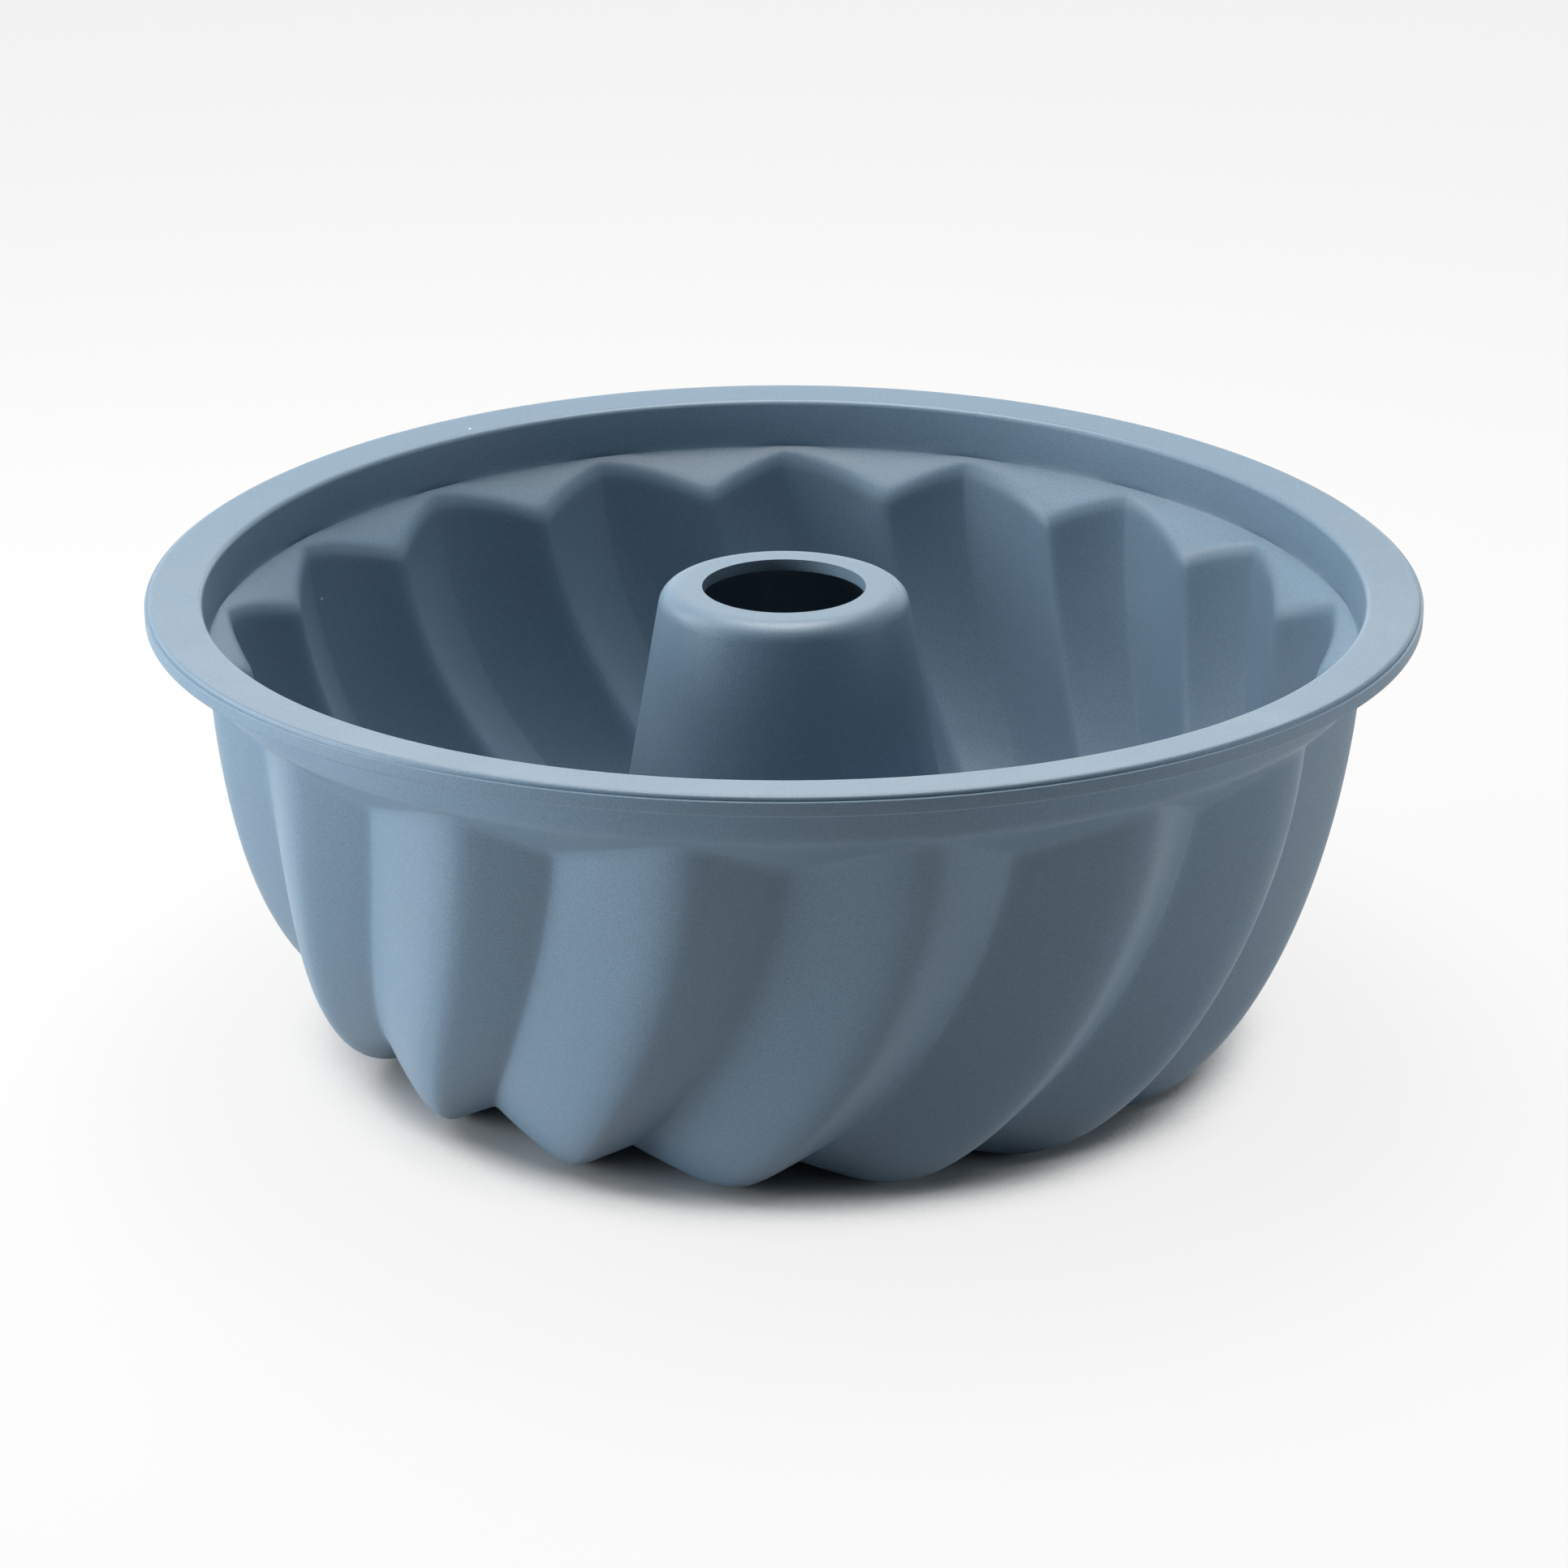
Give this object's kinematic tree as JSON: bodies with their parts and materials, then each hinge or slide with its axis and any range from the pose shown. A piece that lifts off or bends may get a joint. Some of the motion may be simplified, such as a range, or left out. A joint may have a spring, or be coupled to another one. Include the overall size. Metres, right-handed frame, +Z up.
{
  "type": "silicone fluted tube pan",
  "caption": "Round silicone baking mould with twisted flutes, an open centre tube, a stepped collar and a flat rim flange stiffened by a hidden steel hoop.",
  "frame": {"origin": "on the axis of the centre tube, at the level that the pan stands on", "axes": "+Z up along the tube, -Y towards the camera of the picture"},
  "size_m": [0.25, 0.2499, 0.096],
  "materials": {
    "silicone": "matte blue-grey silicone",
    "steel": "plain cut strip"
  },
  "bodies": {
    "root": {"pan_body": "silicone", "rim_hoop": "steel"}
  },
  "joints": []
}
